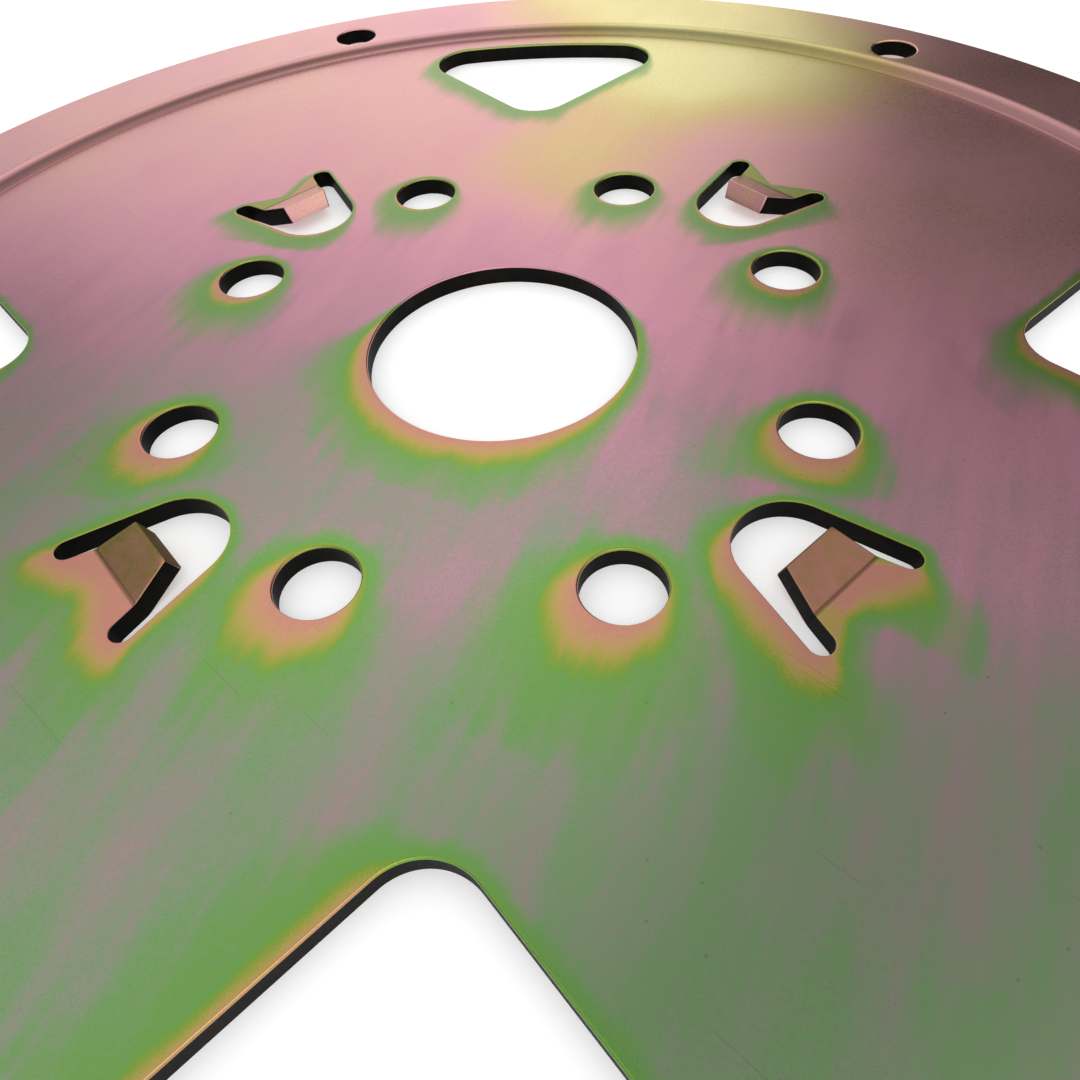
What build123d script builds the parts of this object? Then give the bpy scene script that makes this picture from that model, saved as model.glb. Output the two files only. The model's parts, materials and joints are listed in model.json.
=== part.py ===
from build123d import *
import os
from math import acos, cos, degrees, radians, sin, tan

os.makedirs("parts", exist_ok=True)

# Flexplate: one round plate, stamped from sheet steel. It lies on its lower face at Z = 0, with the
# crankshaft's axis on Z and one window towards +Y. Lengths are in millimetres, angles in degrees.
# A turn is the angle of a pattern's first copy from +X.

# Sheet, and the small bevel that piercing and trimming leave on its upper edges
sheet_thickness = 3.0
edge_break = 0.3

# Rim flange, raised above the flat centre by an S-bend
outer_diameter = 261.0
rim_flange_width = 15.6
rim_rise = 1.5
rim_bend_radius = 0.5

# Converter bolt holes in the rim flange
rim_hole_count = 6
rim_hole_diameter = 9.0
rim_hole_edge_distance = 10.5
rim_hole_turn = 51.75

# Crankshaft pilot bore and bolt holes
pilot_bore_diameter = 40.0
crank_circle_diameter = 94.0
crank_hole_count = 8
crank_hole_diameter = 10.5
crank_hole_turn = 22.5

# Windows: rounded triangles with the apex towards the centre
window_count = 4
window_turn = 0.0
window_web = 4.75
window_depth = 32.3
window_half_angle = 43.5
window_corner_radius = 7.0

# Slots, with sharp edges: a round inner end, sides that spread outwards, and an arm past each side
# of the tab's root
slot_count = 4
slot_turn = 45.0
slot_start_inside_crank_circle = 0.9
slot_end_radius = 7.1
slot_side_angle = 13.8
slot_length_to_bend = 14.7
slot_arm_length = 4.2

# Tabs, lanced out of the slots and bent up
tab_root_width = 11.6
tab_side_angle = 16.2
tab_length = 5.8
tab_bend_angle = 20.0
tab_bend_radius = 0.5

# Places and sizes that follow from those above
pilot_bore_radius = pilot_bore_diameter / 2
outer_radius = outer_diameter / 2
rim_flange_radius = outer_radius - rim_flange_width
rim_hole_circle_radius = outer_radius - rim_hole_edge_distance
rim_outer_bend_radius = rim_bend_radius + sheet_thickness
rim_step_angle = degrees(acos(1 - rim_rise / (rim_bend_radius + rim_outer_bend_radius)))
rim_step_width = (rim_bend_radius + rim_outer_bend_radius) * sin(radians(rim_step_angle))
flat_centre_radius = rim_flange_radius - rim_step_width
window_outer_radius = flat_centre_radius - window_web
window_apex_cut = window_corner_radius / sin(radians(window_half_angle)) - window_corner_radius
window_apex_radius = window_outer_radius - window_depth - window_apex_cut
slot_start_radius = crank_circle_diameter / 2 - slot_start_inside_crank_circle
slot_end_centre = slot_start_radius + slot_end_radius
bend_line_radius = slot_start_radius + slot_length_to_bend
slot_arm_reach = bend_line_radius + slot_arm_length
cut_height = 2 * (sheet_thickness + rim_rise)

# A face belongs to the sheet's skin, not to a cut wall, where its normal rises by more than this
steepest_skin = 0.5


def plate_section():
    """Half section of the sheet, from the pilot bore out to the rim, equally thick all along."""
    rim_top = rim_rise + sheet_thickness
    lower_flat = Line((pilot_bore_radius, 0), (flat_centre_radius, 0))
    lower_rise = JernArc(lower_flat @ 1, lower_flat % 1, rim_outer_bend_radius, rim_step_angle)
    lower_level = JernArc(lower_rise @ 1, lower_rise % 1, rim_bend_radius, -rim_step_angle)
    lower_flange = Line(lower_level @ 1, (outer_radius, rim_rise))
    rim_wall = Line(lower_flange @ 1, (outer_radius, rim_top))
    upper_flange = Line(rim_wall @ 1, (rim_flange_radius, rim_top))
    upper_fall = JernArc(upper_flange @ 1, upper_flange % 1, rim_outer_bend_radius, rim_step_angle)
    upper_level = JernArc(upper_fall @ 1, upper_fall % 1, rim_bend_radius, -rim_step_angle)
    upper_flat = Line(upper_level @ 1, (pilot_bore_radius, sheet_thickness))
    bore_wall = Line(upper_flat @ 1, lower_flat @ 0)
    lower_skin = [lower_flat, lower_rise, lower_level, lower_flange]
    upper_skin = [upper_flange, upper_fall, upper_level, upper_flat]
    return make_face(Curve() + [*lower_skin, rim_wall, *upper_skin, bore_wall])


def bolt_holes():
    """The crankshaft bolt holes round the bore, and the converter bolt holes in the rim flange."""
    crank_places = PolarLocations(crank_circle_diameter / 2, crank_hole_count, crank_hole_turn)
    rim_places = PolarLocations(rim_hole_circle_radius, rim_hole_count, rim_hole_turn)
    crank_holes = crank_places * Circle(crank_hole_diameter / 2)
    rim_holes = rim_places * Circle(rim_hole_diameter / 2)
    return crank_holes + rim_holes


def window_outline():
    """A wedge along +X, cut off by an arc that runs parallel to the rim, with rounded corners."""
    far = window_apex_radius + outer_radius
    spread = outer_radius * tan(radians(window_half_angle))
    wedge = Polygon((window_apex_radius, 0), (far, -spread), (far, spread), align=None)
    pane = wedge & Circle(window_outer_radius)
    return fillet(pane.vertices(), window_corner_radius)


def slot_outline():
    """The slot along +X, with the tab's place in it: its straight outer side is the bend line."""
    side = radians(slot_side_angle)
    tab_side = radians(tab_side_angle)
    side_start = Vector(-sin(side), cos(side)) * slot_end_radius + Vector(slot_end_centre, 0)
    root = Vector(bend_line_radius, tab_root_width / 2)

    # Each arm ends in a half-round that touches the slot's side and the line of the tab's side
    outer_side = side_start.Y + (slot_arm_reach - side_start.X) * tan(side)
    inner_side = root.Y + slot_arm_length * tan(tab_side)
    spread_per_radius = 1 / cos(side) + 1 / cos(tab_side) + tan(side) - tan(tab_side)
    arm_radius = (outer_side - inner_side) / spread_per_radius
    arm_centre_x = slot_arm_reach - arm_radius
    arm_centre_y = root.Y + (arm_centre_x - root.X) * tan(tab_side) + arm_radius / cos(tab_side)
    arm_centre = Vector(arm_centre_x, arm_centre_y)
    side_end = arm_centre + Vector(-sin(side), cos(side)) * arm_radius
    arm_end = arm_centre + Vector(arm_radius, 0)
    inner_start = arm_centre + Vector(sin(tab_side), -cos(tab_side)) * arm_radius

    slot_side = Line(side_start, side_end)
    arm = [slot_side, ThreePointArc(side_end, arm_end, inner_start), Line(inner_start, root)]
    other_arm = [mirror(edge, Plane.XZ) for edge in arm]
    round_end = ThreePointArc(side_start, (slot_start_radius, 0), other_arm[0] @ 0)
    bend_line = Line(root, other_arm[-1] @ 1)
    return make_face(Curve() + [round_end, *arm, bend_line, *other_arm])


def tab():
    """The tab along +X: a bend, a flat and a square end, trimmed to the tapering sides."""
    upper_start = Vector(bend_line_radius, sheet_thickness)
    lower_start = Vector(bend_line_radius, 0)
    inwards = Vector(-1, 0)
    upper_bend = JernArc(upper_start, inwards, tab_bend_radius, -tab_bend_angle)
    lower_bend = JernArc(
        lower_start, inwards, tab_bend_radius + sheet_thickness, -tab_bend_angle
    )
    upper_flat = PolarLine(upper_bend @ 1, tab_length, direction=upper_bend % 1)
    lower_flat = PolarLine(lower_bend @ 1, tab_length, direction=lower_bend % 1)
    end = Line(lower_flat @ 1, upper_flat @ 1)
    root = Line(lower_start, upper_start)
    section = make_face(Curve() + [lower_bend, lower_flat, end, upper_flat, upper_bend, root])
    strip = extrude(Plane.XZ * section, amount=tab_root_width / 2, both=True)

    root_corner = Vector(bend_line_radius, tab_root_width / 2)
    other_corner = Vector(bend_line_radius, -tab_root_width / 2)
    sides_meet = Vector(bend_line_radius - root_corner.Y / tan(radians(tab_side_angle)), 0)
    taper = make_face(Polyline(root_corner, other_corner, sides_meet, close=True))
    return strip & extrude(taper, amount=cut_height, both=True)


def upper_edges(plate):
    """The edges where the upper skin meets the rim or the wall of an opening."""
    upper_skin = plate.faces().filter_by(lambda face: face.normal_at().Z > steepest_skin)
    cut_walls = plate.faces().filter_by(lambda face: abs(face.normal_at().Z) < steepest_skin)
    wall_edges = cut_walls.edges()
    return [edge for edge in upper_skin.edges() if edge in wall_edges]


def stamped_plate():
    """The plate as the press makes it: rim formed, openings pierced, slots lanced, tabs bent."""
    plate = revolve(Plane.XZ * plate_section(), Axis.Z)
    windows = PolarLocations(0, window_count, window_turn) * window_outline()
    pierced = Sketch() + [*bolt_holes(), *windows]
    plate -= extrude(pierced, amount=cut_height, both=True)
    plate = chamfer(upper_edges(plate), edge_break)

    slot_places = PolarLocations(0, slot_count, slot_turn)
    slots = Sketch() + slot_places * slot_outline()
    plate -= extrude(slots, amount=cut_height, both=True)
    plate += slot_places * tab()
    return plate


flexplate = stamped_plate()
flexplate.label = "flexplate"
export_step(flexplate, "parts/flexplate.step")
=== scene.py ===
import json
from math import acos, atan2, cos, pi, radians, sin, tan

import bmesh
import bpy
from mathutils import Matrix, Vector
from mathutils.geometry import delaunay_2d_cdt


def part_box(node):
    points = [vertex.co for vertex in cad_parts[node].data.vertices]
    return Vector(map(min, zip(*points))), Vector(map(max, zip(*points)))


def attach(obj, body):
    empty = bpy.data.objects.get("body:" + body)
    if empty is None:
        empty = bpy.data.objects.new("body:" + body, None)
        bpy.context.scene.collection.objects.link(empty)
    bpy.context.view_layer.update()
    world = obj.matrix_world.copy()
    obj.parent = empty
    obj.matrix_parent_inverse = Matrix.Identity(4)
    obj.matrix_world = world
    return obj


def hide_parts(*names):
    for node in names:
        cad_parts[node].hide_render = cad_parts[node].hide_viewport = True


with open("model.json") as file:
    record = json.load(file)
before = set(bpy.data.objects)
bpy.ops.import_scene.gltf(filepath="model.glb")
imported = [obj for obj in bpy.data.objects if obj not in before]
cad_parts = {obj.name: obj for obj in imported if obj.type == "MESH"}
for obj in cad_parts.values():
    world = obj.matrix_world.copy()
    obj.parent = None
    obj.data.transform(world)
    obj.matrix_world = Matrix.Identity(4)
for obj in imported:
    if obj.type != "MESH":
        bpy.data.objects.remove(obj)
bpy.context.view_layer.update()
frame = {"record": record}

# A stamped flexplate, plated in yellow zinc, on a pale floor. Lengths are in metres, written as
# millimetres times mm. Turns and the camera's angles are in degrees, and other angles in radians.
mm = 0.001

# Sizes that the frame gives
mounts = {mount["name"]: mount["dims"] for mount in frame["record"]["mounts"]}
outer_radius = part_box("flexplate")[1].x
bore_radius = mounts["pilot_bore"]["r_mm"] * mm
crank_circle_radius = mounts["crank_bolts"]["pcd_mm"] / 2 * mm
crank_hole_radius = mounts["crank_bolts"]["hole_r_mm"] * mm
crank_hole_count = mounts["crank_bolts"]["count"]
rim_circle_radius = mounts["converter_bolts"]["pcd_mm"] / 2 * mm
rim_hole_radius = mounts["converter_bolts"]["hole_r_mm"] * mm
rim_hole_count = mounts["converter_bolts"]["count"]

# The sheet, the drawn edge of what is pierced, and the finer one of what is lanced
sheet = 3.0 * mm
pierced_edge = 0.3 * mm
lanced_edge = 0.12 * mm

# The rim's S-bend and the turns of the hole patterns
rim_flange_width = 15.6 * mm
rim_rise = 1.5 * mm
rim_inner_bend = 0.5 * mm
rim_bend_angle = acos(1 - rim_rise / (2 * rim_inner_bend + sheet))
rim_flange_radius = outer_radius - rim_flange_width
flat_radius = rim_flange_radius - (2 * rim_inner_bend + sheet) * sin(rim_bend_angle)
crank_hole_turn = 22.5
rim_hole_turn = 51.75

# Windows, with a narrow web between each and the S-bend
window_count = 4
window_turn = 0.0
window_web = 4.75 * mm
window_outer_radius = flat_radius - window_web
window_depth = 32.3 * mm
window_half_angle = radians(43.5)
window_corner = 7.0 * mm

# Slots and their tabs
slot_count = 4
slot_turn = 45.0
slot_start = 46.1 * mm
slot_end_radius = 7.1 * mm
slot_side_angle = radians(13.8)
slot_arm_length = 4.2 * mm
bend_line = 60.8 * mm
tab_root = 5.8 * mm
tab_side_angle = radians(16.2)
tab_length = 5.8 * mm
tab_angle = radians(20.0)
tab_inner_bend = 0.5 * mm
tab_corner = 0.3 * mm
tab_bend_length = (tab_inner_bend + sheet / 2) * tab_angle
tab_end = bend_line - tab_bend_length - tab_length

# How far outside a tab's outline, and from its free end, a point still counts as on it
tab_slack = 0.01 * mm
tab_end_slack = 0.2 * mm

# The flat centre is made as one quarter and the rim flange as one sixth. Both begin at the same
# turn, which lies between two openings.
centre_parts = 4
flange_parts = rim_hole_count
part_turn = -32.0

# How finely the plate is drawn: steps round the whole of it or round a hole, a chord's length on
# the smaller arcs, a step's length on straight sides, and steps over a drawn edge or a bend. Then
# the sharpest turn that is shaded as smooth, and how close points are welded.
ring_steps = 504
bore_steps = 256
crank_hole_steps = 96
rim_hole_steps = 72
chord = 0.35 * mm
straight_step = 3 * chord
edge_steps = 3
tab_bend_steps = 5
rim_bend_steps = 12
sharpest_smooth = radians(40)
weld_distance = 0.002 * mm

# Stretches over which the plating changes, from the front to the back or, in the last two, from
# the left to the right
front_fade = (-60 * mm, 60 * mm)
film_fade = (-55 * mm, 65 * mm)
near_fade = (-90 * mm, -45 * mm)
window_fade = (-75 * mm, -58 * mm)
back_fade = (2 * mm, 20 * mm)
drift_fade = (0, 45 * mm)
near_band_fade = (-50 * mm, -25 * mm)
right_band_fade = (-30 * mm, 10 * mm)
tab_film_fade = (-40 * mm, 40 * mm)

# The film's thickness, as a place in the table of its colours. The plain film grows from the back
# to the front, with a slant towards the right. Wisps and bands round the openings are thicker, and
# the film is thickest at an opening's edge. The tabs have a film of their own.
back_film = 0.31
front_film = 0.595
film_slant = 0.35
slant_start = -25 * mm
near_film_gain = 0.02
thickest_plain_film = 0.64
wisp_film = 0.66
band_film = 0.70
edge_film = 1.02
back_tab_film = 0.22
left_tab_film = 0.95
right_tab_film = 1.01

# Colours of the passivated zinc, from the thinnest film at nought to the thickest at one
film_colours = (
    (0.00, "EDE3A2"),
    (0.10, "DCC77C"),
    (0.20, "DDB38E"),
    (0.29, "E6ADA6"),
    (0.38, "DD9CAE"),
    (0.46, "C98EA1"),
    (0.54, "A88A8E"),
    (0.61, "8D9A83"),
    (0.69, "68A653"),
    (0.77, "82A23F"),
    (0.84, "B3A452"),
    (0.91, "C89A72"),
    (1.00, "CB8B7C"),
)

# The golden patch at the back lies along two lines. Each row gives the line's ends, how far from it
# the patch keeps its full depth and where it stops, in millimetres, and how much thinner it is.
golden_patch = (
    ((20, 135), (46, 94), 10, 42, 0.25),
    ((28, 95), (6, 52), 3, 24, 0.13),
)

# Streaks, with their direction in degrees from -Y towards -X, their widths and how many times as
# long they are. Then clouds, and the mottles on the tabs. A depth is how much each changes the film,
# and where there are two they are for the back and the front.
streak_turn = 20.0
broad_streak = 9.0 * mm
broad_stretch = 3.5
broad_depth = (0.05, 0.15)
narrow_streak = 2.4 * mm
narrow_stretch = 7
narrow_depth = (0.02, 0.06)
cloud_size = 34.0 * mm
cloud_depth = 0.10
mottle_size = 2.2 * mm
mottle_depth = 0.18

# The zinc's crystalline grain: the sizes of its crystals, the share of the coarse ones, how much
# they change the plain film and the bands, and their bump. Then the plating's mean roughness, and
# how much the clouds and the grain change it.
fine_grain = 0.16 * mm
coarse_grain = 0.55 * mm
coarse_share = 0.3
grain_depth = 0.12
band_grain_depth = 0.14
grain_strength = 0.18
grain_height = 0.02 * mm
plating_roughness = 0.30
cloud_roughness = 0.10
grain_roughness = 0.22

# The direction in which the solution drained from an opening, in degrees from -Y towards -X, and
# how far back against it the openings are looked for
back_drift_turn = 18.0
front_drift_turn = 29.0
window_drift_turn = 70.0
drift_probe = 2.5 * mm

# The bands of colour round the openings. Where two openings are close, their bands run together
# over the blend. Beside slots and windows, and round the bore, they are narrower by the crowding.
band_blend = 4.5 * mm
side_crowding = 1.5
front_bore_crowding = 1.2
back_bore_crowding = 3.2
back_bore_gap = 3.0 * mm

# The bands' strength and width at the back and at the front, and how much wider they are where the
# solution drained. Near the front they are wider again, by one length on the left and another on
# the right. The fades are shares of the width, and wisps lie only where the streaks rise so far.
band_strength = (0.88, 1.08)
band_width = (0.9 * mm, 3.0 * mm)
drained_band_width = (7.5 * mm, 10.7 * mm)
near_band_width = (2.0 * mm, 6.0 * mm)
band_fade = (0.3, 1.3)
wisp_fade = (0.6, 2.2)
wisp_rise = (-0.08, 0.2)

# The width of the thickest film at an opening's edge, at the back and at the front, and how much
# wider it is at the front where the solution drained. Its strength is for sides away from the drain
# and sides towards it, and it is less at the front window.
edge_width = (0.45 * mm, 0.85 * mm)
drained_edge_width = 7.5 * mm
edge_strength = (0.3, 1.9)
window_edge_loss = 0.2

# How far past its bend line the sheet beside a tab's root counts as open, which at the back is
# short of the line
front_root_reach = 1.2 * mm
back_root_reach = -3.8 * mm

# Where the tabs' own film begins, measured from the slot's outline and from the bend line, and
# where the dark end of a front tab begins, measured from its tip
on_tab_fade = (-1.0 * mm, -0.2 * mm)
tab_root_fade = 0.1 * mm
tab_end_fade = (0.05 * mm, 0.2 * mm)

# Painted shade: dark creases along the S-bend and the tabs' bends, and how much darker they and the
# tabs are
crease_radius = flat_radius + 0.9 * mm
crease_fade = (0.2 * mm, 1.9 * mm)
crease_shade = 0.55
bend_shade_fade = (0.08 * mm, 0.4 * mm)
bend_shade_end = 0.6 * mm
bend_shade_depth = 0.5
tab_shade = 0.25
tab_end_shade = 0.8

# Specks and hairlines: how far apart they could stand, the share of those places that has one,
# their radius as a share of the spacing, and how much darker they are. A hairline is a speck that
# is drawn out so many times, along a line that is turned from +Y by so much.
speck_spacing = 5.0 * mm
speck_share = 0.07
speck_reach = 0.04
speck_shade = 0.22
hairline_spacing = 0.1 * mm
hairline_share = 0.0016
hairline_reach = 0.6
hairline_stretch = 90
hairline_turn = 52.0
hairline_shade = 0.2

# The sheared walls: their near black is a painted shade, with a little brown where the film took
shaded_cut_black = "060504"
cut_brown = "15110C"
stain_size = 3.0 * mm
cut_roughness = 0.55

# The floor's half width in metres, how far it lies under the plate, its grey, and its glow in what
# the camera and the metal see of it
floor_half_width = 3.0
floor_drop = 0.02 * mm
floor_grey = 0.82
floor_roughness = 0.9
floor_glow = 0.30

# The room as the metal mirrors it. Each row gives the sine of the height above the floor, and then
# the brightness, how much dimmer the left side is and how dark the right side is.
room_levels = (
    (0.00, (1.38, 0.95, 0.97)),
    (0.30, (1.38, 0.60, 0.97)),
    (0.36, (1.38, 0.60, 0.97)),
    (0.41, (0.82, 0.90, 0.97)),
    (0.455, (0.64, 0.60, 0.97)),
    (0.53, (0.54, 0.22, 0.80)),
    (0.57, (0.57, 0.18, 0.60)),
    (0.62, (0.82, 0.15, 0.44)),
    (0.70, (1.06, 0.12, 0.37)),
    (0.80, (1.06, 0.10, 0.44)),
    (0.92, (0.94, 0.06, 0.49)),
    (1.00, (0.55, 0.00, 0.50)),
)

# Where the room's dark side begins, in degrees clockwise of +Y, how softly it does so and fades
# towards the front, how the left side dims, and how bright the room is for all but mirroring
dark_side_turn = 12.0
dark_side_fade = (-0.10, 0.12)
front_room_fade = (-0.3, 0.3)
left_room_fade = (-0.9, -0.1)
room_light = 0.9

# The camera, fitted to the round openings as the photograph shows them
camera_place = (17.18 * mm, -99.17 * mm, 81.288 * mm)
camera_yaw = -6.997
camera_pitch = 51.295
camera_roll = -4.993
camera_lens = 27.922
camera_sensor = 36.0
camera_shift_x = -0.0120
camera_clip_start = 5.0 * mm


def turned(point, degrees_turned):
    """A flat point turned about the plate's centre."""
    return Matrix.Rotation(radians(degrees_turned), 2) @ point


def arc(centre, radius, start, end, steps, into_sheet=1):
    """Points along an arc, each with the direction that leads into the sheet."""
    samples = []
    for step in range(steps + 1):
        angle = start + (end - start) * step / steps
        outwards = Vector((cos(angle), sin(angle)))
        samples.append((centre + outwards * radius, outwards * into_sheet))
    return samples


def arc_steps(radius, span):
    """How many chords an arc is drawn with."""
    return max(4, round(abs(span) * radius / chord))


def straight(start, end, into_sheet):
    """Points along a straight side, without its ends, which the arcs beside it hold."""
    steps = max(2, round((end - start).length / straight_step))
    return [(start.lerp(end, step / steps), into_sheet) for step in range(1, steps)]


def circle(radius, hole_radius, steps):
    """A round hole on the X axis, at a distance from the plate's centre."""
    return arc(Vector((radius, 0)), hole_radius, 0, 2 * pi, steps)[:-1]


def mirrored_loop(half_outline):
    """Closes a half outline, whose first and last points lie on the X axis, by its mirror image.

    The half given lies beside +Y. The closed loop runs anticlockwise, the mirror image first.
    """
    flip = Matrix(((1, 0), (0, -1)))
    mirror_image = [(flip @ point, flip @ normal) for point, normal in half_outline]
    return mirror_image + half_outline[-2:0:-1]


def window_corners():
    """The centres of a window's rounded corners: the apex and one outer corner.

    The window lies along +X: a wedge cut off by an arc that runs parallel to the rim.
    """
    half = window_half_angle
    apex_x = window_outer_radius - window_depth + window_corner
    core_radius = window_outer_radius - window_corner
    reach = (core_radius ** 2 - (apex_x * sin(half)) ** 2) ** 0.5 - apex_x * cos(half)
    apex = Vector((apex_x, 0))
    return apex, apex + Vector((cos(half), sin(half))) * reach


def window_outline():
    """The window along +X. Its side along the rim is nearly straight, so it has fewer chords."""
    half = window_half_angle
    apex, corner = window_corners()
    corner_angle = atan2(corner.y, corner.x)
    side_normal = Vector((-sin(half), cos(half)))
    apex_end = pi / 2 + half
    outline = arc(apex, window_corner, pi, apex_end, arc_steps(window_corner, pi - apex_end))
    outline += straight(apex + side_normal * window_corner, corner + side_normal * window_corner,
                        side_normal)
    outline += arc(corner, window_corner, apex_end, corner_angle,
                   arc_steps(window_corner, apex_end - corner_angle))
    rim_side_steps = arc_steps(window_outer_radius, corner_angle) // 3
    outline += arc(Vector((0, 0)), window_outer_radius, corner_angle, 0, rim_side_steps)[1:]
    return mirrored_loop(outline)


def slot_ends():
    """The half-rounds of a slot along +X: the inner end's centre, an arm's centre and radius."""
    side, taper = slot_side_angle, tab_side_angle
    end_centre = Vector((slot_start + slot_end_radius, 0))
    side_start = end_centre + Vector((-sin(side), cos(side))) * slot_end_radius
    reach = bend_line + slot_arm_length

    # The arm's half-round touches the slot's side and the line of the tab's side
    outer_side = side_start.y + (reach - side_start.x) * tan(side)
    inner_side = tab_root + slot_arm_length * tan(taper)
    spread = 1 / cos(side) + 1 / cos(taper) + tan(side) - tan(taper)
    arm_radius = (outer_side - inner_side) / spread
    arm_x = reach - arm_radius
    arm_y = tab_root + (arm_x - bend_line) * tan(taper) + arm_radius / cos(taper)
    return end_centre, Vector((arm_x, arm_y)), arm_radius


def half_width(x):
    """Half the tab's width at a distance from the plate's centre."""
    return tab_root - (bend_line - x) * tan(tab_side_angle)


def slot_outline():
    """The lanced line of a slot along +X in the flat sheet, round the tab that stands in it.

    Also gives the places in the outline where the rows of the tab's bend cross it.
    """
    side, taper = slot_side_angle, tab_side_angle
    end_centre, arm_centre, arm_radius = slot_ends()
    side_normal = Vector((-sin(side), cos(side)))
    into_tab = Vector((sin(taper), -cos(taper)))
    round_span = pi / 2 - side
    outline = arc(end_centre, slot_end_radius, pi, pi - round_span,
                  arc_steps(slot_end_radius, round_span))
    outline += straight(end_centre + side_normal * slot_end_radius,
                        arm_centre + side_normal * arm_radius, side_normal)
    outline += arc(arm_centre, arm_radius, side + pi / 2, taper - pi / 2,
                   arc_steps(arm_radius, pi))
    root = Vector((bend_line, tab_root))
    outline += straight(arm_centre + into_tab * arm_radius, root, into_tab)
    row_places = []
    for row in range(tab_bend_steps + 1):
        x = bend_line - tab_bend_length * row / tab_bend_steps
        row_places.append(len(outline))
        outline.append((Vector((x, half_width(x))), into_tab))

    # The tab's corner is rounded a little, with its centre inside the tab
    corner_x = tab_end + tab_corner
    corner = Vector((corner_x, half_width(corner_x) - tab_corner / cos(taper)))
    outline += straight(outline[-1][0], corner - into_tab * tab_corner, into_tab)
    outline += arc(corner, tab_corner, pi / 2 + taper, pi, arc_steps(tab_corner, pi / 2), -1)
    into_end = Vector((1, 0))
    outline += straight(Vector((tab_end, corner.y)), Vector((tab_end, 0)), into_end)
    outline.append((Vector((tab_end, 0)), into_end))
    return mirrored_loop(outline), row_places


def formed(point):
    """Where a point of the flat sheet lies once the tab in the first slot is bent up."""
    flat = turned(Vector(point[:2]), -slot_turn)
    row = bend_line - flat.x
    beside_tab = abs(flat.y) > half_width(flat.x) + tab_slack
    if beside_tab or not 0 < row < tab_bend_length + tab_length + tab_slack:
        return tuple(point)
    angle = tab_angle * min(row / tab_bend_length, 1)
    radius = tab_inner_bend + sheet - point[2]
    past_bend = max(row - tab_bend_length, 0)
    x = bend_line - radius * sin(angle) - past_bend * cos(angle)
    z = sheet + tab_inner_bend - radius * cos(angle) + past_bend * sin(angle)
    y = flat.y * half_width(x) / half_width(flat.x)
    bent = turned(Vector((x, y)), slot_turn)
    return (bent.x, bent.y, z)


def on_tab_end(point):
    """Whether a point of the flat sheet lies on the free end of the first slot's tab."""
    flat = turned(Vector(point[:2]), -slot_turn)
    at_end = abs(flat.x - tab_end) < tab_end_slack
    return at_end and abs(flat.y) < half_width(flat.x) + tab_end_slack


def row_along(outline, offset, height):
    """The row of points that lies some way into the sheet from an outline, at one height."""
    return [(*(point + normal * offset), height) for point, normal in outline]


def part_arc(radius, height, parts, steps):
    """A row of points along an arc about the plate's centre, across one of its equal parts."""
    start = radians(part_turn)
    samples = arc(Vector((0, 0)), radius, start, start + 2 * pi / parts, steps // parts)
    return row_along(samples, 0, height)


def add_band(mesh, rows, closed=False, cut=False):
    """Joins equally long rows of points by bands of faces. A tab's end takes the plating, never the
    cut walls' painted shade.
    """
    is_cut = mesh.faces.layers.bool["cut_wall"]
    corners = [[mesh.verts.new(formed(point)) for point in row] for row in rows]
    for upper, lower in zip(corners, corners[1:]):
        for place in range(len(upper) if closed else len(upper) - 1):
            after = (place + 1) % len(upper)
            face = mesh.faces.new((upper[place], upper[after], lower[after], lower[place]))
            face[is_cut] = cut and not on_tab_end(rows[0][place])


def edge_profile(edge, top):
    """A drawn upper edge: how far into the sheet and how high each of its rows lies."""
    profile = []
    for step in range(edge_steps + 1):
        angle = pi / 2 * step / edge_steps
        profile.append((edge * (1 - sin(angle)), top - edge * (1 - cos(angle))))
    return profile


def add_wall(mesh, outline, top, edge):
    """The wall of an opening, from its drawn upper edge down to the lower skin."""
    rows = [row_along(outline, offset, height) for offset, height in edge_profile(edge, top)]
    add_band(mesh, rows, closed=True)
    add_band(mesh, [rows[-1], row_along(outline, 0, top - sheet)], closed=True, cut=True)


def add_part_wall(mesh, radius, into_sheet, top, parts, steps, cut):
    """The wall of the bore or of the rim, across one part."""
    rows = [part_arc(radius + offset * into_sheet, height, parts, steps)
            for offset, height in edge_profile(pierced_edge, top)]
    add_band(mesh, rows)
    add_band(mesh, [rows[-1], part_arc(radius, top - sheet, parts, steps)], cut=cut)


def add_skin(mesh, inner_arc, outer_arc, holes, height, creases=()):
    """Fills the flat between two arcs, less the openings in it, with faces."""
    loops = []
    points = []
    for loop in [outer_arc + inner_arc[::-1], *holes]:
        loops.append(list(range(len(points), len(points) + len(loop))))
        points += [Vector(point[:2]) for point in loop]
    edges = [(loops[hole + 1][a], loops[hole + 1][b]) for hole, a, b in creases]
    only_inside = 1
    nearness = 1e-9
    places, _, faces, _, _, loops_of_faces = delaunay_2d_cdt(
        points, edges, loops, only_inside, nearness, True)
    corners = [mesh.verts.new(formed((*place, height))) for place in places]
    for face, loops_of_face in zip(faces, loops_of_faces):
        if list(loops_of_face) == [0]:
            mesh.faces.new([corners[corner] for corner in face])


def copies_in_part(outline, count, turn, parts):
    """The copies of an outline, repeated round the plate's centre, that lie in its first part."""
    placed = []
    for copy in range(count):
        place = (turn + copy * 360 / count - part_turn) % 360
        if place < 360 / parts:
            placed.append([(turned(point, part_turn + place), turned(normal, part_turn + place))
                           for point, normal in outline])
    return placed


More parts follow.
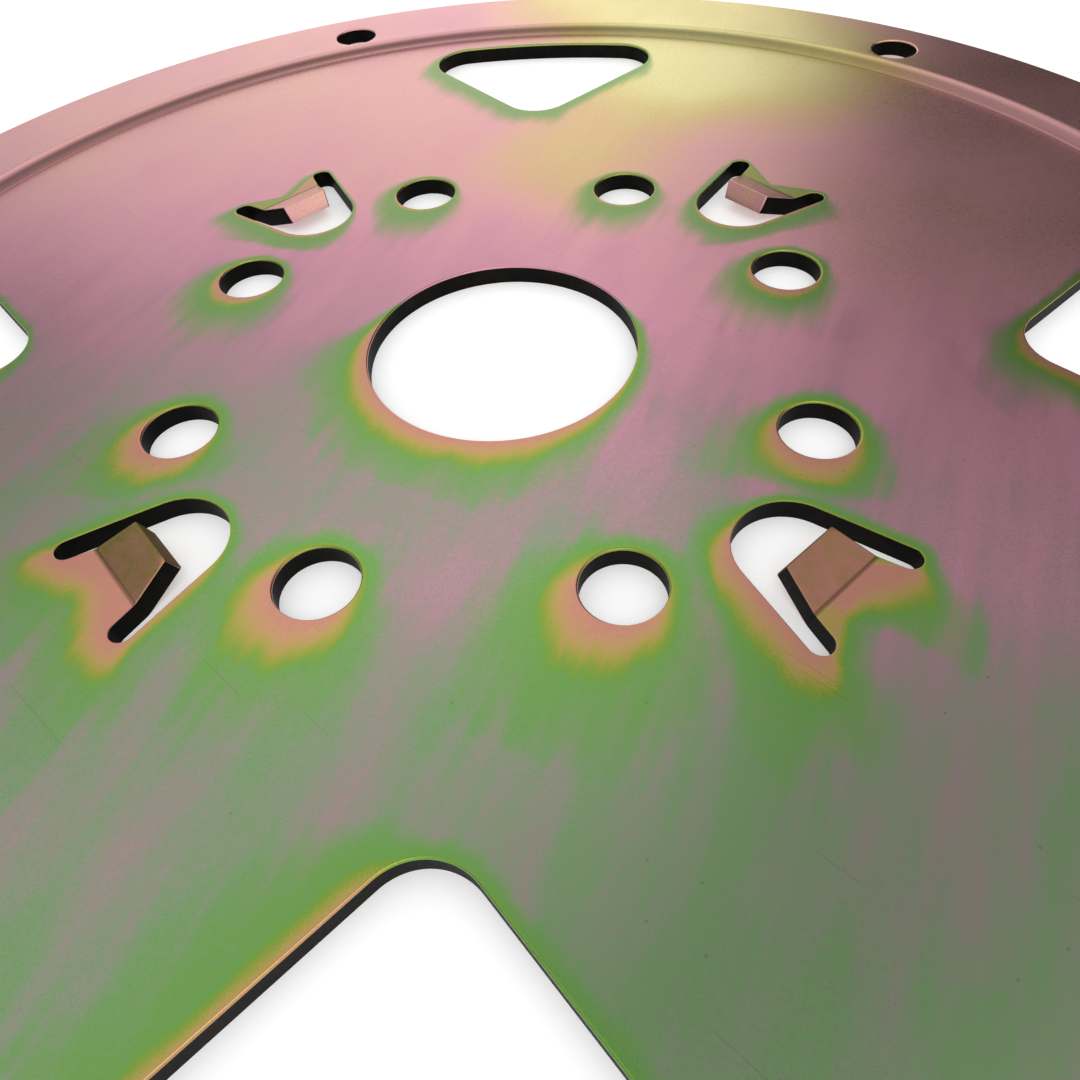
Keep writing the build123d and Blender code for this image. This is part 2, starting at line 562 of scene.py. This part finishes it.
def rim_bend_profile(upper):
    """The S-bend on one side of the sheet, from inside out, as radius and height."""
    inner, outer = rim_inner_bend, rim_inner_bend + sheet
    first, second = (inner, outer) if upper else (outer, inner)
    level = sheet if upper else 0
    profile = []
    for step in range(rim_bend_steps + 1):
        angle = rim_bend_angle * step / rim_bend_steps
        profile.append((flat_radius + first * sin(angle), level + first * (1 - cos(angle))))
    for step in range(rim_bend_steps - 1, -1, -1):
        angle = rim_bend_angle * step / rim_bend_steps
        profile.append((rim_flange_radius - second * sin(angle),
                        level + rim_rise - second * (1 - cos(angle))))
    return profile


def centre_quarter():
    """A quarter of the flat centre, with its S-bend, a window, two crank holes and a tab's slot."""
    mesh = bmesh.new()
    mesh.faces.layers.bool.new("cut_wall")
    parts = centre_parts
    crank_hole = circle(crank_circle_radius, crank_hole_radius, crank_hole_steps)
    pierced = copies_in_part(crank_hole, crank_hole_count, crank_hole_turn, parts)
    pierced += copies_in_part(window_outline(), window_count, window_turn, parts)
    lanced_line, row_places = slot_outline()
    lanced = copies_in_part(lanced_line, slot_count, slot_turn, parts)

    # Lines across the tab, from side to side, along which it bends
    creases = [(len(pierced), place, len(lanced_line) - place) for place in row_places]

    for upper in (True, False):
        height = sheet if upper else 0
        pierced_inset = pierced_edge if upper else 0
        holes = [row_along(outline, pierced_inset, height) for outline in pierced]
        holes += [row_along(outline, lanced_edge if upper else 0, height) for outline in lanced]
        bend = [part_arc(radius, level, parts, ring_steps)
                for radius, level in rim_bend_profile(upper)]
        bore = part_arc(bore_radius + pierced_inset, height, parts, bore_steps)
        add_skin(mesh, bore, bend[0], holes, height, creases)
        add_band(mesh, bend)

    add_part_wall(mesh, bore_radius, 1, sheet, parts, bore_steps, cut=True)
    for outline in pierced:
        add_wall(mesh, outline, sheet, pierced_edge)
    for outline in lanced:
        add_wall(mesh, outline, sheet, lanced_edge)
    return mesh


def flange_sixth():
    """A sixth of the rim flange, with one converter bolt hole."""
    mesh = bmesh.new()
    mesh.faces.layers.bool.new("cut_wall")
    parts = flange_parts
    rim_hole = circle(rim_circle_radius, rim_hole_radius, rim_hole_steps)
    holes = copies_in_part(rim_hole, rim_hole_count, rim_hole_turn, parts)
    for upper in (True, False):
        height = rim_rise + (sheet if upper else 0)
        inset = pierced_edge if upper else 0
        inner = part_arc(rim_flange_radius, height, parts, ring_steps)
        rim = part_arc(outer_radius - inset, height, parts, ring_steps)
        add_skin(mesh, inner, rim, [row_along(outline, inset, height) for outline in holes], height)
    add_part_wall(mesh, outer_radius, -1, rim_rise + sheet, parts, ring_steps, cut=False)
    for outline in holes:
        add_wall(mesh, outline, rim_rise + sheet, pierced_edge)
    return mesh


def repeating_tree():
    """Geometry Nodes: one part of the plate, repeated round its centre and given its finishes."""
    tree = bpy.data.node_groups.new("repeat_round_centre", "GeometryNodeTree")
    for name, kind in (("Part", "Geometry"), ("Count", "Int"), ("Skin Finish", "Material"),
                       ("Cut Finish", "Material")):
        tree.interface.new_socket(name, in_out="INPUT", socket_type=f"NodeSocket{kind}")
    tree.interface.new_socket("Plate", in_out="OUTPUT", socket_type="NodeSocketGeometry")
    given = tree.nodes.new("NodeGroupInput").outputs

    points = tree.nodes.new("GeometryNodePoints")
    tree.links.new(given["Count"], points.inputs["Count"])
    whole_turn = tree.nodes.new("ShaderNodeMath")
    whole_turn.operation = "DIVIDE"
    whole_turn.inputs[0].default_value = 2 * pi
    tree.links.new(given["Count"], whole_turn.inputs[1])
    turn = tree.nodes.new("ShaderNodeMath")
    turn.operation = "MULTIPLY"
    tree.links.new(tree.nodes.new("GeometryNodeInputIndex").outputs[0], turn.inputs[0])
    tree.links.new(whole_turn.outputs[0], turn.inputs[1])
    rotation = tree.nodes.new("FunctionNodeAxisAngleToRotation")
    rotation.inputs["Axis"].default_value = (0, 0, 1)
    tree.links.new(turn.outputs[0], rotation.inputs["Angle"])

    part = tree.nodes.new("GeometryNodeGeometryToInstance")
    tree.links.new(given["Part"], part.inputs[0])
    placed = tree.nodes.new("GeometryNodeInstanceOnPoints")
    tree.links.new(points.outputs[0], placed.inputs["Points"])
    tree.links.new(part.outputs[0], placed.inputs["Instance"])
    tree.links.new(rotation.outputs[0], placed.inputs["Rotation"])
    real = tree.nodes.new("GeometryNodeRealizeInstances")
    tree.links.new(placed.outputs[0], real.inputs["Geometry"])

    skin = tree.nodes.new("GeometryNodeSetMaterial")
    tree.links.new(real.outputs[0], skin.inputs["Geometry"])
    tree.links.new(given["Skin Finish"], skin.inputs["Material"])
    is_cut = tree.nodes.new("GeometryNodeInputNamedAttribute")
    is_cut.data_type = "BOOLEAN"
    is_cut.inputs["Name"].default_value = "cut_wall"
    cut = tree.nodes.new("GeometryNodeSetMaterial")
    tree.links.new(skin.outputs[0], cut.inputs["Geometry"])
    tree.links.new(is_cut.outputs["Attribute"], cut.inputs["Selection"])
    tree.links.new(given["Cut Finish"], cut.inputs["Material"])
    tree.links.new(cut.outputs[0], tree.nodes.new("NodeGroupOutput").inputs[0])
    return tree


def repeated(tree, part, count, skin_finish, cut_finish):
    """The plain mesh that the tree makes of one part."""
    data = bpy.data.meshes.new("part")
    part.to_mesh(data)
    part.free()
    data.materials.append(skin_finish)
    carrier = bpy.data.objects.new("part", data)
    bpy.context.scene.collection.objects.link(carrier)
    modifier = carrier.modifiers.new("repeat", "NODES")
    modifier.node_group = tree
    values = {"Count": count, "Skin Finish": skin_finish, "Cut Finish": cut_finish}
    for item in tree.interface.items_tree:
        if item.name in values:
            modifier[item.identifier] = values[item.name]
    depsgraph = bpy.context.evaluated_depsgraph_get()
    result = bpy.data.meshes.new_from_object(carrier.evaluated_get(depsgraph), depsgraph=depsgraph)
    bpy.data.objects.remove(carrier)
    return result


def build_plate(skin_finish, cut_finish):
    """The plate's object: four quarters and six sixths, joined into one closed mesh."""
    tree = repeating_tree()
    plate = bmesh.new()
    for part, count in ((centre_quarter(), centre_parts), (flange_sixth(), flange_parts)):
        plate.from_mesh(repeated(tree, part, count, skin_finish, cut_finish))
    bmesh.ops.remove_doubles(plate, verts=plate.verts, dist=weld_distance)
    bmesh.ops.recalc_face_normals(plate, faces=plate.faces)
    for face in plate.faces:
        face.smooth = True
    for edge in plate.edges:
        edge.smooth = edge.calc_face_angle(0) < sharpest_smooth

    data = bpy.data.meshes.new("stamped_plate")
    plate.to_mesh(data)
    plate.free()
    data.materials.append(skin_finish)
    data.materials.append(cut_finish)
    result = bpy.data.objects.new("stamped_plate", data)
    bpy.context.scene.collection.objects.link(result)
    weighted = result.modifiers.new("flat_shading", "WEIGHTED_NORMAL")
    weighted.keep_sharp = True
    return result


class Field:
    """A number that changes over a surface. Arithmetic on it adds Math nodes to its tree."""

    def __init__(self, tree, socket):
        self.tree = tree
        self.socket = socket

    def math(self, operation, *others, clamp=False):
        node = self.tree.nodes.new("ShaderNodeMath")
        node.operation = operation
        node.use_clamp = clamp
        for place, value in enumerate([self, *others]):
            if isinstance(value, Field):
                self.tree.links.new(value.socket, node.inputs[place])
            else:
                node.inputs[place].default_value = value
        return Field(self.tree, node.outputs[0])

    def __add__(self, other):
        return self.math("ADD", other)

    def __sub__(self, other):
        return self.math("SUBTRACT", other)

    def __mul__(self, other):
        return self.math("MULTIPLY", other)

    def __truediv__(self, other):
        return self.math("DIVIDE", other)

    def __neg__(self):
        return self * -1

    def __rsub__(self, other):
        return -self + other

    def cos(self):
        return self.math("COSINE")

    def sin(self):
        return self.math("SINE")

    def abs(self):
        return self.math("ABSOLUTE")

    def clamped(self):
        return self.math("ADD", 0, clamp=True)

    def at_least(self, other):
        return self.math("MAXIMUM", other)

    def at_most(self, other):
        return self.math("MINIMUM", other)

    def soft_least(self, other, blend):
        return self.math("SMOOTH_MIN", other, blend)

    def length(self, other):
        """The length of the flat vector that this field and another make."""
        node = self.tree.nodes.new("ShaderNodeVectorMath")
        node.operation = "LENGTH"
        self.tree.links.new(combined(self.tree, self, other), node.inputs[0])
        return Field(self.tree, node.outputs["Value"])

    def rise(self, low, high, start=0, end=1):
        """The start value below low, the end value above high, and smooth between them."""
        node = self.tree.nodes.new("ShaderNodeMapRange")
        node.interpolation_type = "SMOOTHSTEP"
        self.tree.links.new(self.socket, node.inputs["Value"])
        node.inputs["From Min"].default_value = low
        node.inputs["From Max"].default_value = high
        node.inputs["To Min"].default_value = start
        node.inputs["To Max"].default_value = end
        return Field(self.tree, node.outputs["Result"])

    def fall(self, low, high):
        """One below low, nought above high, and smooth between them."""
        return self.rise(low, high, 1, 0)

    def between(self, start, end):
        """The start value where this field is nought, the end value where it is one."""
        return self * (end - start) + start

    def towards(self, goal, share):
        """This field, moved by a share of the way towards a goal."""
        return self + (goal - self) * share


def linear(hex_colour):
    """A colour written as on a colour card, turned into the linear values that a shader takes."""
    channels = [int(hex_colour[place:place + 2], 16) / 255 for place in (0, 2, 4)]
    return [channel / 12.92 if channel <= 0.04045 else ((channel + 0.055) / 1.055) ** 2.4
            for channel in channels]


def ramp(tree, field, stops, interpolation="LINEAR"):
    """Colours along a field, from pairs of a value and a linear colour."""
    node = tree.nodes.new("ShaderNodeValToRGB")
    node.color_ramp.interpolation = interpolation
    elements = node.color_ramp.elements
    while len(elements) < len(stops):
        elements.new(0.5)
    for element, (value, colour) in zip(elements, stops):
        element.position = value
        element.color = (*colour, 1)
    tree.links.new(field.socket, node.inputs["Fac"])
    return node.outputs["Color"]


def mixed(tree, factor, colour_a, colour_b, blend="MIX"):
    """A mix of two colours, of which either may be a fixed one."""
    node = tree.nodes.new("ShaderNodeMix")
    node.data_type = "RGBA"
    node.blend_type = blend
    for value, socket in ((factor, node.inputs[0]), (colour_a, node.inputs[6]),
                          (colour_b, node.inputs[7])):
        if isinstance(value, Field):
            tree.links.new(value.socket, socket)
        elif isinstance(value, bpy.types.NodeSocket):
            tree.links.new(value, socket)
        elif isinstance(value, str):
            socket.default_value = (*linear(value), 1)
        else:
            socket.default_value = value
    return node.outputs[2]


def combined(tree, *parts):
    """A vector of two or three fields."""
    node = tree.nodes.new("ShaderNodeCombineXYZ")
    for part, socket in zip(parts, node.inputs):
        tree.links.new(part.socket, socket)
    return node.outputs[0]


def separated(tree, vector):
    """The three fields of a vector or of a colour."""
    node = tree.nodes.new("ShaderNodeSeparateXYZ")
    tree.links.new(vector, node.inputs[0])
    return [Field(tree, socket) for socket in node.outputs]


def drawn_out(tree, vector, size, stretch, turn):
    """Coordinates in units of a size, drawn out so many times along a turned Y axis."""
    mapping = tree.nodes.new("ShaderNodeMapping")
    mapping.vector_type = "TEXTURE"
    mapping.inputs["Rotation"].default_value = (0, 0, radians(turn))
    mapping.inputs["Scale"].default_value = (size, size * stretch, size)
    tree.links.new(vector, mapping.inputs["Vector"])
    return mapping.outputs[0]


def noise(tree, vector, size, detail=2, stretch=1, turn=0, flat=True):
    """Soft noise about nought, of about the given size. It is flat unless walls are to show it."""
    node = tree.nodes.new("ShaderNodeTexNoise")
    node.noise_dimensions = "2D" if flat else "3D"
    node.inputs["Scale"].default_value = 1
    node.inputs["Detail"].default_value = detail
    tree.links.new(drawn_out(tree, vector, size, stretch, turn), node.inputs["Vector"])
    return Field(tree, node.outputs[0]) - 0.5


def marks(tree, vector, spacing, share, reach, stretch=1, turn=0):
    """One on small marks that stand about a spacing apart, in a share of the places for them."""
    node = tree.nodes.new("ShaderNodeTexVoronoi")
    node.voronoi_dimensions = "2D"
    node.inputs["Scale"].default_value = 1
    tree.links.new(drawn_out(tree, vector, spacing, stretch, turn), node.inputs["Vector"])
    chance = separated(tree, node.outputs["Color"])[0]
    nearness = Field(tree, node.outputs["Distance"]).fall(reach / 2, reach)
    return nearness * chance.math("LESS_THAN", share)


def new_group(name, *outputs):
    """Starts a node group that takes a place. Gives its tree, the place and the named outputs."""
    tree = bpy.data.node_groups.new(name, "ShaderNodeTree")
    tree.interface.new_socket("Place", in_out="INPUT", socket_type="NodeSocketVector")
    for output in outputs:
        tree.interface.new_socket(output, in_out="OUTPUT", socket_type="NodeSocketFloat")
    place = tree.nodes.new("NodeGroupInput").outputs[0]
    return tree, place, tree.nodes.new("NodeGroupOutput").inputs


def from_group(tree, group, place):
    """What a node group gives at a place."""
    node = tree.nodes.new("ShaderNodeGroup")
    node.node_tree = group
    tree.links.new(place, node.inputs[0])
    return [Field(tree, socket) for socket in node.outputs]


def folded(x, y, turn):
    """The place in the nearest of a pattern's copies, turned so that the copy lies along +X.

    The plate's eighths mirror one another, so a place is first folded into the eighth beside +X.
    """
    long, short = x.abs().at_least(y.abs()), x.abs().at_most(y.abs())
    if turn == 0:
        return long, short
    cosine, sine = cos(radians(turn)), sin(radians(turn))
    return long * cosine + short * sine, short * cosine - long * sine


def slot_distance(x, y, back):
    """The distance to a slot, which narrows from its round end to the end of each arm."""
    end_centre, arm_centre, arm_radius = slot_ends()
    axis = arm_centre - end_centre
    narrowing = (slot_end_radius - arm_radius) / axis.length
    slope = narrowing / (1 - narrowing ** 2) ** 0.5
    axis_x, axis_y = axis.normalized()
    along, across = folded(x, y, slot_turn)
    along = along - end_centre.x
    across = across.abs()
    forward = along * axis_x + across * axis_y
    sideways = (across * axis_x - along * axis_y).abs()
    part = ((forward - sideways * slope) / axis.length).clamped()
    centre_line = (forward - part * axis.length).length(sideways)
    slot = centre_line - slot_end_radius + part * (slot_end_radius - arm_radius)
    root_end = back.between(front_root_reach, back_root_reach) + (bend_line - end_centre.x)
    root = (along - root_end).at_least(across - slot_end_radius).at_least(-along)
    return slot.at_most(root)


def window_distance(x, y):
    """The distance to a window, which is its corners' centre lines widened by the corner radius."""
    apex, corner = window_corners()
    axis = corner - apex
    axis_x, axis_y = axis.normalized()
    along, across = folded(x, y, window_turn)
    forward = (along - apex.x) * axis_x + across * axis_y
    sideways = across * axis_x - (along - apex.x) * axis_y
    part = (forward / axis.length).clamped() * axis.length
    side = (forward - part).length(sideways)
    beyond_corner = (across - along * (corner.y / corner.x)).at_least(0)
    rim_side = (x.length(y) - corner.length).abs().length(beyond_corner)
    return side.at_most(rim_side) - window_corner


def opening_distance_group():
    """Node group: how far a place on the sheet lies from the openings, in metres.

    One output is the distance to the nearest opening. In the other the openings run together.
    """
    tree, place, result = new_group("distance_to_openings", "Distance", "Merged Distance")
    x, y, _ = separated(tree, place)
    back = y.rise(*back_fade)
    bore = (x.length(y) - bore_radius) * back.between(front_bore_crowding, back_bore_crowding)
    along, across = folded(x, y, crank_hole_turn)
    crank_hole = (along - crank_circle_radius).length(across) - crank_hole_radius
    slot = slot_distance(x, y, back) * side_crowding
    window = window_distance(x, y) * side_crowding

    nearest = merged = bore + back * back_bore_gap
    for opening in (crank_hole, slot, window):
        nearest = nearest.at_most(opening)
        merged = merged.soft_least(opening, band_blend)
    tree.links.new(nearest.socket, result[0])
    tree.links.new(merged.socket, result[1])
    return tree


def zinc_grain_group():
    """Node group: the crystalline grain of the zinc, as a value about nought."""
    tree, place, result = new_group("zinc_grain", "Grain")
    fine = noise(tree, place, fine_grain, detail=0, flat=False)
    coarse = noise(tree, place, coarse_grain, detail=1, flat=False)
    grain = fine * (1 - coarse_share) + coarse * coarse_share
    tree.links.new(grain.socket, result[0])
    return tree


def near_line(x, y, start, end, near, far):
    """One close to a straight line between two places, fading to nought with distance."""
    start, end = Vector(start) * mm, Vector(end) * mm
    axis = end - start
    axis_x, axis_y = axis.normalized()
    forward = (x - start.x) * axis_x + (y - start.y) * axis_y
    sideways = (y - start.y) * axis_x - (x - start.x) * axis_y
    beyond_end = forward - forward.at_least(0).at_most(axis.length)
    return beyond_end.length(sideways).fall(near * mm, far * mm)


def plain_film(x, y, front, broad, narrow, cloud):
    """The film's thickness away from the openings: streaks over soft clouds, and a golden patch."""
    slanted = y + x.at_least(slant_start) * film_slant
    film = slanted.fall(*film_fade).between(back_film, front_film)
    film = film + y.fall(*near_fade) * near_film_gain + cloud * cloud_depth
    film = film + broad * front.between(*broad_depth) + narrow * front.between(*narrow_depth)
    for start, end, near, far, thinner in golden_patch:
        film = film - near_line(x, y, start, end, near, far) * thinner
    return film.at_most(thickest_plain_film)


def distances(tree, distance_group, x, y, at_window):
    """How far the openings are: the nearest, all of them merged, and whether they drained here.

    A probe goes back against the drift. Where the openings are nearer from there, the place lies on
    the side that the solution ran towards, and the film is thick only on that side.
    """
    drift = y.rise(*drift_fade, radians(front_drift_turn), radians(back_drift_turn))
    drift = drift + at_window * radians(window_drift_turn - front_drift_turn)
    probe_x, probe_y = x + drift.sin() * drift_probe, y + drift.cos() * drift_probe
    nearest, merged = from_group(tree, distance_group, combined(tree, x, y))
    _, merged_at_probe = from_group(tree, distance_group, combined(tree, probe_x, probe_y))
    drained = ((merged - merged_at_probe) * (0.5 / drift_probe) + 0.5).clamped()
    return nearest, merged, drained * drained


def bands(x, y, nearest, merged, drained, at_window, front, broad, narrow):
    """Green wisps and a soft green band round each opening, and the thicker film at its edge."""
    near = y.fall(*near_band_fade) * x.rise(*right_band_fade, *near_band_width)
    width = drained * (near + front.between(*drained_band_width)) + front.between(*band_width)
    width = width * (broad * 0.6 + narrow * 0.5 + 1)
    wisps = (merged / width).fall(*wisp_fade) * (broad + narrow * 0.6).rise(*wisp_rise) * front
    band = (merged / width).fall(*band_fade) * front.between(*band_strength).clamped()

    gathered = drained * at_window.between(1, 0.5)
    width = front.between(*edge_width) + front * gathered * drained_edge_width
    width = width * (narrow * 0.5 + broad * 0.3 + 1)
    strength = gathered.between(*edge_strength) - at_window * window_edge_loss
    edge = (1 - nearest / width).clamped() * strength.clamped()
    return wisps, band, edge


def plating_material(distance_group, grain_group):
    """Yellow zinc: the film's colour follows its thickness, which builds up round the openings."""
    material = bpy.data.materials.new("yellow_zinc")
    material.use_nodes = True
    tree = material.node_tree
    shader = tree.nodes["Principled BSDF"]
    coordinates = tree.nodes.new("ShaderNodeTexCoord").outputs["Object"]
    x, y, z = separated(tree, coordinates)
    front = y.fall(*front_fade)
    at_window = y.fall(*window_fade)
    broad = noise(tree, coordinates, broad_streak, stretch=broad_stretch, turn=-streak_turn)
    narrow = noise(tree, coordinates, narrow_streak, stretch=narrow_stretch, turn=-streak_turn)
    cloud = noise(tree, coordinates, cloud_size)
    mottle = noise(tree, coordinates, mottle_size)
    grain = from_group(tree, grain_group, coordinates)[0]

    film = plain_film(x, y, front, broad, narrow, cloud)
    nearest, merged, drained = distances(tree, distance_group, x, y, at_window)
    wisps, band, edge = bands(x, y, nearest, merged, drained, at_window, front, broad, narrow)
    film = film.towards(wisp_film, wisps * 0.5)

    # The tabs have a mottled film of their own. Those at the front are darker, a painted shade, and
    # their free ends are dark and not metallic, a painted shade too
    along, across = folded(x, y, slot_turn)
    on_tab = nearest.fall(*on_tab_fade) * along.fall(bend_line - tab_root_fade, bend_line)
    front_tab_film = x.rise(*tab_film_fade, left_tab_film, right_tab_film)
    tab_film = front.between(back_tab_film, front_tab_film) + mottle * mottle_depth
    film = film.towards(tab_film, on_tab)
    tip = bend_line * cos(tab_angle) - tab_length - (sheet + tab_inner_bend) * sin(tab_angle)
    from_tip = along * cos(tab_angle) - z * sin(tab_angle) - tip
    shaded_tip = from_tip.fall(*tab_end_fade) * front
    tab_shading = (1 - front * (tab_shade - mottle * 0.3)) * (1 - shaded_tip * tab_end_shade)

    # The creases of the S-bend and of the tabs are darkened, a painted shade, with specks and
    # hairlines here and there
    crease_shade_mask = (x.length(y) - crease_radius).abs().fall(*crease_fade)
    bend_shade_mask = (along - bend_line).abs().fall(*bend_shade_fade)
    bend_shade_mask = bend_shade_mask * across.abs().fall(tab_root, tab_root + bend_shade_end)
    specks = marks(tree, coordinates, speck_spacing, speck_share, speck_reach)
    hairlines = marks(tree, coordinates, hairline_spacing, hairline_share, hairline_reach,
                      hairline_stretch, hairline_turn)
    tone = (1 - crease_shade_mask * crease_shade) * (1 - bend_shade_mask * bend_shade_depth)
    tone = tone * (1 - on_tab * (1 - tab_shading))
    tone = tone * (1 - specks * speck_shade) * (1 - hairlines * hairline_shade)

    stops = [(value, linear(colour)) for value, colour in film_colours]
    film = film + grain * grain_depth
    thick_film = edge.between(band_film, edge_film) + grain * band_grain_depth
    plain_colour = ramp(tree, film.clamped(), stops, "B_SPLINE")
    band_colour = ramp(tree, thick_film.clamped(), stops, "B_SPLINE")
    colour = mixed(tree, band * (1 - on_tab), plain_colour, band_colour)
    colour = mixed(tree, 1.0, colour, combined(tree, tone, tone, tone), "MULTIPLY")
    tree.links.new(colour, shader.inputs["Base Color"])

    roughness = cloud * cloud_roughness + grain * grain_roughness + plating_roughness
    tree.links.new(roughness.socket, shader.inputs["Roughness"])
    tree.links.new((1 - shaded_tip * on_tab).socket, shader.inputs["Metallic"])
    shader.inputs["Specular IOR Level"].default_value = 0.0

    bump = tree.nodes.new("ShaderNodeBump")
    bump.inputs["Strength"].default_value = grain_strength
    bump.inputs["Distance"].default_value = grain_height
    tree.links.new(grain.socket, bump.inputs["Height"])
    tree.links.new(bump.outputs[0], shader.inputs["Normal"])
    return material


def cut_wall_material(grain_group):
    """The sheared wall of a cut: nearly black, a painted shade, with a little brown where the film
    took.
    """
    material = bpy.data.materials.new("sheared_wall")
    material.use_nodes = True
    tree = material.node_tree
    shader = tree.nodes["Principled BSDF"]
    coordinates = tree.nodes.new("ShaderNodeTexCoord").outputs["Object"]
    grain = from_group(tree, grain_group, coordinates)[0]
    stain = noise(tree, coordinates, stain_size, flat=False)
    colour = mixed(tree, stain.rise(-0.1, 0.3), shaded_cut_black, cut_brown)
    tree.links.new(colour, shader.inputs["Base Color"])
    roughness = grain * 0.3 + cut_roughness
    tree.links.new(roughness.socket, shader.inputs["Roughness"])
    shader.inputs["Specular IOR Level"].default_value = 0.08
    return material


def pale_floor():
    """A pale floor that keeps the plate's shadow and shows as white elsewhere."""
    data = bpy.data.meshes.new("floor")
    corners = [(across * floor_half_width, along * floor_half_width, 0)
               for across, along in ((-1, -1), (1, -1), (1, 1), (-1, 1))]
    data.from_pydata(corners, [], [(0, 1, 2, 3)])
    floor = bpy.data.objects.new("floor", data)
    bpy.context.scene.collection.objects.link(floor)
    floor.location.z = -floor_drop
    material = bpy.data.materials.new("pale_floor")
    material.use_nodes = True
    tree = material.node_tree
    shader = tree.nodes["Principled BSDF"]
    shader.inputs["Base Color"].default_value = (floor_grey, floor_grey, floor_grey, 1)
    shader.inputs["Roughness"].default_value = floor_roughness
    rays = tree.nodes.new("ShaderNodeLightPath")
    seen = Field(tree, rays.outputs["Is Camera Ray"]).at_least(
        Field(tree, rays.outputs["Is Glossy Ray"]))
    shader.inputs["Emission Color"].default_value = (1, 1, 1, 1)
    tree.links.new((seen * floor_glow).socket, shader.inputs["Emission Strength"])
    data.materials.append(material)


def soft_light(name, place, size, power):
    """A square soft box that looks at the plate's centre."""
    data = bpy.data.lights.new(name, "AREA")
    data.size = size
    data.energy = power
    light = bpy.data.objects.new(name, data)
    light.location = place
    light.rotation_euler = (-Vector(place)).to_track_quat("-Z", "Y").to_euler()
    bpy.context.scene.collection.objects.link(light)


def studio():
    """A white room whose right side is dark, as a metal surface shows it."""
    world = bpy.data.worlds.new("white_room")
    bpy.context.scene.world = world
    world.use_nodes = True
    tree = world.node_tree
    direction = tree.nodes.new("ShaderNodeTexCoord").outputs["Generated"]
    x, y, z = separated(tree, direction)

    level, left_dimness, right_darkness = separated(tree, ramp(tree, z, room_levels))
    past_turn = x * cos(radians(dark_side_turn)) - y * sin(radians(dark_side_turn))
    dark_side = past_turn.rise(*dark_side_fade) * y.rise(*front_room_fade)
    level = level - x.fall(*left_room_fade) * left_dimness
    level = level * (1 - dark_side * right_darkness)

    rays = tree.nodes.new("ShaderNodeLightPath")
    seen = Field(tree, rays.outputs["Is Camera Ray"])
    mirrored = Field(tree, rays.outputs["Is Glossy Ray"])
    strength = mirrored * (level - room_light) + seen * (1 - room_light) + room_light
    background = tree.nodes["Background"]
    background.inputs["Color"].default_value = (1, 1, 1, 1)
    tree.links.new(strength.socket, background.inputs["Strength"])
    soft_light("soft_box_back", place=(-0.25, 0.75, 0.65), size=0.7, power=0.28)
    soft_light("soft_box_front", place=(0.2, -0.6, 0.9), size=0.6, power=1.2)


def photo_camera():
    """The camera where the photograph was taken from."""
    data = bpy.data.cameras.new("camera")
    data.lens = camera_lens
    data.sensor_width = camera_sensor
    data.shift_x = camera_shift_x
    data.clip_start = camera_clip_start
    camera = bpy.data.objects.new("camera", data)
    yaw, pitch, roll = radians(camera_yaw), radians(camera_pitch), radians(camera_roll)
    forward = Vector((sin(yaw) * cos(pitch), cos(yaw) * cos(pitch), -sin(pitch)))
    level_right = Vector((cos(yaw), -sin(yaw), 0))
    level_up = level_right.cross(forward)
    right = level_right * cos(roll) + level_up * sin(roll)
    up = level_up * cos(roll) - level_right * sin(roll)
    rotation = Matrix((right, up, -forward)).transposed().to_4x4()
    camera.matrix_world = Matrix.Translation(camera_place) @ rotation
    bpy.context.scene.collection.objects.link(camera)
    bpy.context.scene.camera = camera


grain = zinc_grain_group()
plate = build_plate(plating_material(opening_distance_group(), grain), cut_wall_material(grain))
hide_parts("flexplate")
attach(plate, "root")

pale_floor()
studio()
photo_camera()
bpy.context.scene.view_settings.view_transform = "Standard"
